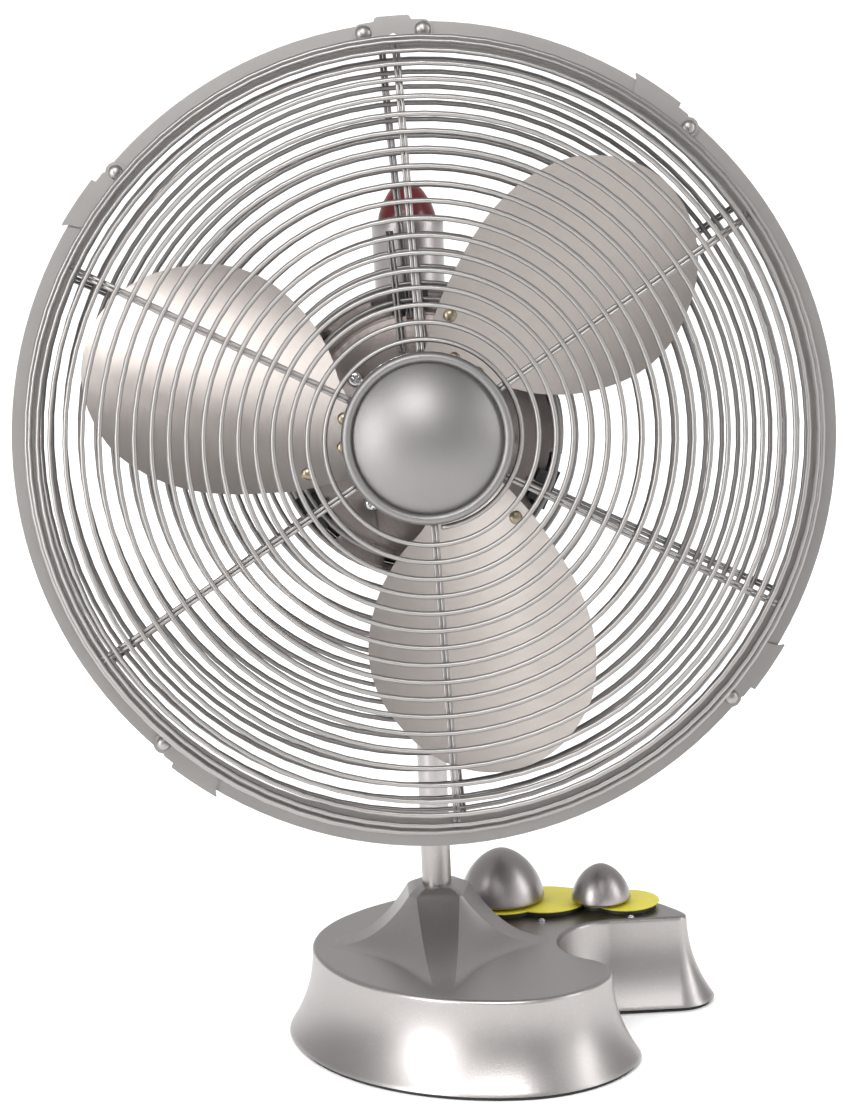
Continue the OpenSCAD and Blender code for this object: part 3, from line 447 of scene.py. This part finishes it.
def dome_profile():
    ball = (BEZEL_IN ** 2 + DOME_RISE ** 2) / (2 * DOME_RISE)
    prof = [(0, 0), (BEZEL_IN, 0)]
    for i in range(DOME_STEPS + 1):
        r = BEZEL_IN * (1 - i / DOME_STEPS)
        prof.append((r, DOME_EDGE + DOME_RISE - ball + math.sqrt(ball ** 2 - r * r)))
    return prof


bezel = moved(lathe(bezel_profile(), BADGE_STEPS), axial(SPOKE_FRONT - BADGE_GAP))
soften(head_piece("badge_ring", bezel, "head", "badge_metal", "badge_bezel"), 50)
dome = moved(lathe(dome_profile(), BADGE_STEPS), axial(SPOKE_FRONT - 2 * BADGE_GAP - BEZEL_FLOOR))
soften(head_piece("badge_cap", dome, "head", "badge_metal", "badge_dome"), 45)

# ---------- Blades: pitched and slightly bent sheet, with an outline through the stations ----------
STATIONS = [  # radius, trailing angle, leading angle
    (30, 10, -44), (40, 6, -52), (50, 3, -61.5), (60, 0.5, -66), (71, -2.6, -68), (86, -5.9, -68),
    (101, -9.4, -66), (116, -13.7, -61.8), (131, -19.2, -55.4), (139, -23.6, -51.2), (145, -28, -46.8),
    (148.8, -32.4, -42.2), (150, -36, -38.6),
]
BLADES = 3
FIRST_BLADE = 82 + ROTOR_CLOCK
BLADE_T = 1.1
BLADE_PITCH = 20.0
BLADE_CAMBER, CAMBER_REACH = 5.0, 40
BLADE_MID = -36.0
BLADE_ACROSS, STATION_STEPS = 30, 4


def blade_y(t):
    """Place along the fan axis of the sheet's front, at t across the blade from its middle line."""
    return ROTOR_Y - t * math.tan(math.radians(BLADE_PITCH)) + BLADE_CAMBER * (1 - (t / CAMBER_REACH) ** 2)


def smooth_stations():
    """Catmull-Rom curve through the stations."""
    s = np.array(STATIONS, float)
    out = []
    for i in range(len(s) - 1):
        a, b, c, d = s[max(0, i - 1)], s[i], s[i + 1], s[min(len(s) - 1, i + 2)]
        for j in range(STATION_STEPS):
            t = j / STATION_STEPS
            bow = (2 * a - 5 * b + 4 * c - d) * t * t + (3 * b - a - 3 * c + d) * t ** 3
            out.append(0.5 * (2 * b + (c - a) * t + bow))
    out.append(s[-1])
    return out


def blade_part(turn):
    rows = smooth_stations()
    front, back = [], []
    for r, trail, lead in rows:
        for j in range(BLADE_ACROSS + 1):
            a = trail + (lead - trail) * j / BLADE_ACROSS
            y = blade_y(r * math.sin(math.radians(a - BLADE_MID)))
            front.append(polar(r, y, a))
            back.append(polar(r, y + BLADE_T, a))
    w, n = BLADE_ACROSS + 1, len(rows)
    behind = n * w
    faces = []
    for i in range(n - 1):
        for j in range(BLADE_ACROSS):
            p = i * w + j
            quad = (p, p + 1, p + w + 1, p + w)
            faces.append(quad)
            faces.append(tuple(q + behind for q in reversed(quad)))
    root = list(range(w))
    leading = [i * w + BLADE_ACROSS for i in range(1, n)]
    tip = [(n - 1) * w + j for j in range(BLADE_ACROSS - 1, -1, -1)]
    trailing = [i * w for i in range(n - 2, 0, -1)]
    path = root + leading + tip + trailing
    for a, b in zip(path, path[1:] + path[:1]):
        faces.append((a, a + behind, b + behind, b))
    return moved((front + back, faces), at_angle(turn))


for k in range(BLADES):
    turned = blade_part(360 // BLADES * k + FIRST_BLADE)
    blade = head_piece(f"fan_blade_{k + 1}", turned, "rotor", "blade_metal", f"blade_{k + 1}")
    soften(blade, 40, 0.35, 3)


# ---------- Base cover: a comma drawn as tangent arcs, with a flared skirt ----------
def unit(a):
    return np.array((math.cos(math.radians(a)), math.sin(math.radians(a))))


BACK_C, BACK_R = np.array((30.0, -26.0)), 98.0
LEFT_A, LEFT_R = 139.0, 62.0
SIDE_A, SIDE_R = 190.0, 94.0
FRONT_A, FRONT_R = 268.0, 46.0
LOBE_A, LOBE_R = -25.0, 20.0
WAIST_A, WAIST_R = 56.0, 28.0
TAIL_R = 5.0
LEFT_C = BACK_C + (BACK_R - LEFT_R) * unit(LEFT_A)
SIDE_C = LEFT_C + (LEFT_R - SIDE_R) * unit(SIDE_A)
FRONT_C = SIDE_C + (SIDE_R - FRONT_R) * unit(FRONT_A)
LOBE_C = FRONT_C + (FRONT_R - LOBE_R) * unit(LOBE_A)
WAIST_C = LOBE_C + (LOBE_R + WAIST_R) * unit(WAIST_A)
TAIL_Y = WAIST_C[1] + WAIST_R + TAIL_R
TAIL_X = BACK_C[0] + math.sqrt((BACK_R - TAIL_R) ** 2 - (TAIL_Y - BACK_C[1]) ** 2)
TAIL_C = np.array((TAIL_X, TAIL_Y))
TAIL_A = math.degrees(math.atan2(TAIL_Y - BACK_C[1], TAIL_X - BACK_C[0]))
ARCS = [  # centre, radius, whether it grows with the outline, from, to, steps
    (FRONT_C, FRONT_R, 1, FRONT_A, 360 + LOBE_A, 44),
    (LOBE_C, LOBE_R, 1, LOBE_A, WAIST_A, 24),
    (WAIST_C, WAIST_R, -1, 180 + WAIST_A, 90, 36),
    (TAIL_C, TAIL_R, 1, -90, TAIL_A, 16),
    (BACK_C, BACK_R, 1, TAIL_A, LEFT_A, 84),
    (LEFT_C, LEFT_R, 1, LEFT_A, SIDE_A, 32),
    (SIDE_C, SIDE_R, 1, SIDE_A, FRONT_A, 56),
]
SKIRT_FLARE, FLARE_POWER = 12.5, 2.2
SKIRT_STEPS, EDGE_STEPS = 24, 6
COVER_WALL, COVER_EDGE = 2.6, 2.0
INNER_MID_Z = 20.0
# Cord grommet at the back: its place, the boss round it, and the opening in the skirt inside the boss
GLAND_X, GLAND_Y, GLAND_Z = 20.0, 71.8, 14.0
BOSS_IN, BOSS_OUT, BOSS_LONG = 4.5, 8.2, 9.1
OPENING_R, BACK_FROM_Y = 7, 55


def outline(grow):
    pts = []
    for c, r, sign, a0, a1, n in ARCS:
        for i in range(n):
            pts.append(c + (r + sign * grow) * unit(a0 + (a1 - a0) * i / n))
    return pts


def flare(z):
    return SKIRT_FLARE * max(0.0, (BASE_TOP - z) / (BASE_TOP - SKIRT_FOOT)) ** FLARE_POWER


def outer_rings():
    """Height and growth of the outline, from the foot's inner edge up to the rounded top edge."""
    foot = flare(SKIRT_FOOT)
    rings = [
        (SKIRT_FOOT + 0.6, foot - COVER_WALL),
        (SKIRT_FOOT, foot - COVER_WALL + 0.5),
        (SKIRT_FOOT, foot - 0.6),
        (SKIRT_FOOT + 0.25, flare(SKIRT_FOOT + 0.25) - 0.1),
    ]
    for i in range(1, SKIRT_STEPS + 1):
        z = SKIRT_FOOT + 0.3 + (BASE_TOP - COVER_EDGE - SKIRT_FOOT - 0.3) * i / SKIRT_STEPS
        rings.append((z, flare(z)))
    for i in range(1, EDGE_STEPS + 1):
        a = math.radians(90 * i / EDGE_STEPS)
        rings.append((BASE_TOP - COVER_EDGE * (1 - math.sin(a)), -COVER_EDGE * (1 - math.cos(a))))
    return rings


def near_gland(p):
    return p[1] > BACK_FROM_Y and math.hypot(p[0] - GLAND_X, p[2] - GLAND_Z) < OPENING_R


def base_part():
    """Cover with an inner skin under it; the skirt opens inside the boss that holds the cord grommet."""
    outer = outer_rings()
    inner = [(INNER_MID_Z, flare(INNER_MID_Z) - COVER_WALL), (BASE_TOP - COVER_WALL, -COVER_WALL)]
    verts = [(p[0], p[1], z) for z, grow in outer + inner for p in outline(grow)]
    n = len(outline(0))
    first = len(outer) * n
    faces = bridge(len(outer), n)
    faces.append(tuple(first - n + i for i in range(n)))
    for i in range(n):
        j = (i + 1) % n
        faces.append((i, first + i, first + j, j))
        faces.append((first + i, first + n + i, first + n + j, first + j))
    faces.append(tuple(first + n + i for i in range(n))[::-1])
    faces = [f for f in faces if len(f) > 4 or not all(near_gland(verts[i]) for i in f)]
    section = [(BOSS_IN, 0), (BOSS_OUT, 0), (BOSS_OUT, BOSS_LONG), (BOSS_IN, BOSS_LONG), (BOSS_IN, 0)]
    inwards = Matrix.Translation((GLAND_X, GLAND_Y, GLAND_Z)) @ Matrix.Rotation(math.radians(-90), 4, "X")
    return joined([(verts, faces), moved(lathe(section, 48), inwards)])


base = piece(new_mesh("base_shell", *base_part()), "base", "nickel", "base_cover")
base.modifiers.new("normals", "WEIGHTED_NORMAL").weight = 100

# ---------- Cowl round the post: four flat ridges with hollow faces between, under a rounded cap ----------
CORNERS = [np.array(c, float) for c in ((50, -10.5), (4, 46), (-51, 0), (-0.5, -73.5))]
COWL_H, COWL_CAP, COWL_TOP_R, COWL_LIFT = 27.5, 3.5, 13.5, 0.02
RISE_POWER = 2.4
STRIP_TOP, STRIP_FOOT = 20.0, 8.5
HOLLOW_STEPS, HOLLOW_SHARE = 12, 0.16
CAP_NARROWING = 1.35
RIDGE_STEPS, RIDGE_SPREAD = 32, 0.8
CAP_SHARES = [0.0, -0.01, -0.04, -0.08, -0.14, -0.22, -0.32, -0.45]


def left_of(v):
    return np.array((-v[1], v[0]))


def ridge_r(corner, u):
    """Distance of a ridge's middle from the post, at share u of the way out."""
    length = COWL_TOP_R if u < 0 else np.linalg.norm(corner) - COWL_TOP_R
    return COWL_TOP_R + length * u


def cowl_ring(u):
    """Outline at share u of the way out along the ridges; below 0 it closes over the cap."""
    strip = STRIP_TOP * (1 + CAP_NARROWING * u) if u < 0 else STRIP_TOP + (STRIP_FOOT - STRIP_TOP) * u
    w = strip / 2
    pts = []
    for k in range(4):
        here, after = CORNERS[k], CORNERS[(k + 1) % 4]
        hu, au = here / np.linalg.norm(here), after / np.linalg.norm(after)
        middle = ridge_r(here, u) * hu
        p = middle + w * left_of(hu)
        q = ridge_r(after, u) * au - w * left_of(au)
        pts += [middle - w * left_of(hu), p]
        for t in np.arange(1, HOLLOW_STEPS) / HOLLOW_STEPS:
            pts.append((p + (q - p) * t) * (1 - HOLLOW_SHARE * max(0.0, u) * math.sin(math.pi * t)))
    return pts


def cowl_z(u):
    if u < 0:
        rise = COWL_H - COWL_CAP + COWL_CAP * (1 - (1 + 2 * u) ** 2)
    else:
        rise = (COWL_H - COWL_CAP) * (1 - u) ** RISE_POWER
    return BASE_TOP + COWL_LIFT + rise


def cowl_part():
    shares = [1 - (i / RIDGE_STEPS) ** RIDGE_SPREAD for i in range(RIDGE_STEPS)] + CAP_SHARES
    verts = [(p[0], p[1], cowl_z(u)) for u in shares for p in cowl_ring(u)]
    n = len(cowl_ring(0))
    faces = bridge(len(shares), n)
    faces.append(tuple((len(shares) - 1) * n + i for i in range(n)))
    faces.append(tuple(range(n))[::-1])
    return verts, faces


cowl = piece(new_mesh("cowl", *cowl_part()), "base", "nickel", "post_cowl")
soften(cowl, 10, 0.6)

# ---------- Knobs: bullets on spindles, over the raised black panel (painted shade under the card) and the card ---
# The raised black panel under the card is painted shade: a dark sheet that fills the shaded gap between the card
# and the base top
SHADE_PANEL_RISE, CARD_T, KNOB_GAP = 2.6, 0.5, 1.2
KNOB_Z = BASE_TOP + SHADE_PANEL_RISE + CARD_T + KNOB_GAP
SPINDLE_R, SPINDLE_LONG = 3, 16
KNOB_EDGE, KNOB_STEPS = 0.9, 48


def bullet_part(r, h, x, y):
    prof = [(0, -SPINDLE_LONG), (SPINDLE_R, -SPINDLE_LONG), (SPINDLE_R, 0)]
    prof += [(r - KNOB_EDGE, 0), (r - 0.3, 0.25), (r, KNOB_EDGE)]
    for i in range(1, KNOB_STEPS):
        u = i / KNOB_STEPS
        prof.append((r * (1 - u ** 1.7) ** 0.58, KNOB_EDGE + (h - KNOB_EDGE) * u))
    prof.append((0.0, h))
    return moved(lathe(prof), Matrix.Translation((x, y, KNOB_Z)))


large = new_mesh("large_knob", *bullet_part(20.0, 24.6, 32, 41))
soften(piece(large, "speed_knob", "knob_metal", "speed_knob"), 50)
small = new_mesh("small_knob", *bullet_part(14.0, 17.4, 78.5, 32))
soften(piece(small, "timer_knob", "knob_metal", "timer_knob"), 50)

# ---------- Carried-over CAD nodes: material, and rounded edges where they show ----------
EDGES = {  # width of the rounding in mm: nodes
    0.1: ("guard_rivets", "blade_rivets"),
    0.12: ("knob_card",),
    0.15: ("mount_screws", "panel_studs"),
    0.2: ("post_tube", "badge_back"),
    # control_panel: the black sheet under the card, painted shade for the gap there
    0.25: ("control_panel",),
    0.3: ("tilt_bolt", "tilt_knob", "blade_spider", "clutch_knob", "rubber_pad", "base_plate"),
    0.4: ("clutch_sleeve", "clutch_collar", "rear_mount_plate", "neck", "cord_gland"),
    0.5: ("motor_front_bell", "motor_rear_bell", "post_fork"),
    0.6: ("gearbox_housing", "gearbox_cover", "guard_pads"),
}
edge_of = {node: width for width, nodes in EDGES.items() for node in nodes}
SAME_POINT = 0.000002
for name, obj in frame["nodes"].items():
    dress(obj, slot_of[name])
    smooth_faces(obj)
    obj.modifiers.new("weld", "WELD").merge_threshold = SAME_POINT
    if name in edge_of:
        soften(obj, 38, edge_of[name])
    else:
        obj.modifiers.new("split", "EDGE_SPLIT").split_angle = math.radians(32)

# ---------- Studio ----------
FLOOR_CORNERS = [(-9000, -6000, 0), (9000, -6000, 0), (9000, 9000, 0), (-9000, 9000, 0)]
floor = new_mesh("floor", FLOOR_CORNERS, [(0, 1, 2, 3)], smooth=False)
floor_mat = bpy.data.materials.new("floor")
floor_mat.use_nodes = True
floor_finish = floor_mat.node_tree.nodes["Principled BSDF"]
floor_finish.inputs["Base Color"].default_value = (0.95, 0.95, 0.95, 1)
floor_finish.inputs["Specular IOR Level"].default_value = 0.0
floor.data.materials.append(floor_mat)

# White backdrop; the metal mirrors dim surroundings, lighter low behind the fan
LIGHTER_SIDE = (0.0, 0.95, 0.3)
DIM, LIGHTER = (0.48, 0.48, 0.485, 1), (0.72, 0.72, 0.725, 1)
DIM_UP_TO, LIGHTER_AT = 0.35, 1.0
world = bpy.data.worlds.new("studio")
world.use_nodes = True
scene.world = world
wn = world.node_tree
way = wn.nodes.new("ShaderNodeTexCoord")
behind = wn.nodes.new("ShaderNodeVectorMath")
behind.operation = "DOT_PRODUCT"
behind.inputs[1].default_value = LIGHTER_SIDE
levels = wn.nodes.new("ShaderNodeValToRGB")
wn.links.new(way.outputs["Generated"], behind.inputs[0])
wn.links.new(behind.outputs["Value"], levels.inputs["Fac"])
low, high = levels.color_ramp.elements
low.position, low.color = DIM_UP_TO, DIM
high.position, high.color = LIGHTER_AT, LIGHTER
seen = wn.nodes.new("ShaderNodeLightPath")
backdrop = wn.nodes.new("ShaderNodeMix")
backdrop.data_type = "RGBA"
backdrop.inputs["B"].default_value = (1.0, 1.0, 1.0, 1)
wn.links.new(seen.outputs["Is Camera Ray"], backdrop.inputs["Factor"])
wn.links.new(levels.outputs["Color"], backdrop.inputs["A"])
wn.links.new(backdrop.outputs["Result"], wn.nodes["Background"].inputs["Color"])
wn.nodes["Background"].inputs["Strength"].default_value = 1.0

LAMP_Z, AIM_Z = 0.2, 0.22


def softbox(name, turn, rise, distance, width, height, power):
    """Area light that faces the fan, at an azimuth from the camera's side and a height angle."""
    lamp = bpy.data.lights.new(name, "AREA")
    lamp.shape = "RECTANGLE"
    lamp.size, lamp.size_y, lamp.energy = width, height, power
    obj = bpy.data.objects.new(name, lamp)
    scene.collection.objects.link(obj)
    a, e = math.radians(turn), math.radians(rise)
    away = Vector((math.sin(a) * math.cos(e), -math.cos(a) * math.cos(e), math.sin(e)))
    at = away * distance + Vector((0, 0, LAMP_Z))
    obj.location = at
    obj.rotation_euler = (Vector((0, 0, AIM_Z)) - at).to_track_quat("-Z", "Y").to_euler()
    return obj


softbox("left_box", -49, 16, 2.4, 0.85, 1.5, 33)
softbox("fill_box", 44, 16, 2.4, 0.3, 1.4, 2)
softbox("right_box", 68, 20, 2.4, 0.55, 1.5, 14)
softbox("key_box", -10, 42, 2.4, 1.0, 0.75, 31)
# Floor light that the metal does not mirror
floor_box = softbox("floor_box", 0, 89, 7.0, 20.0, 20.0, 1450)
floor_box.location.y += 3.0
floor_box.visible_glossy = False

scene.view_settings.view_transform = "Standard"
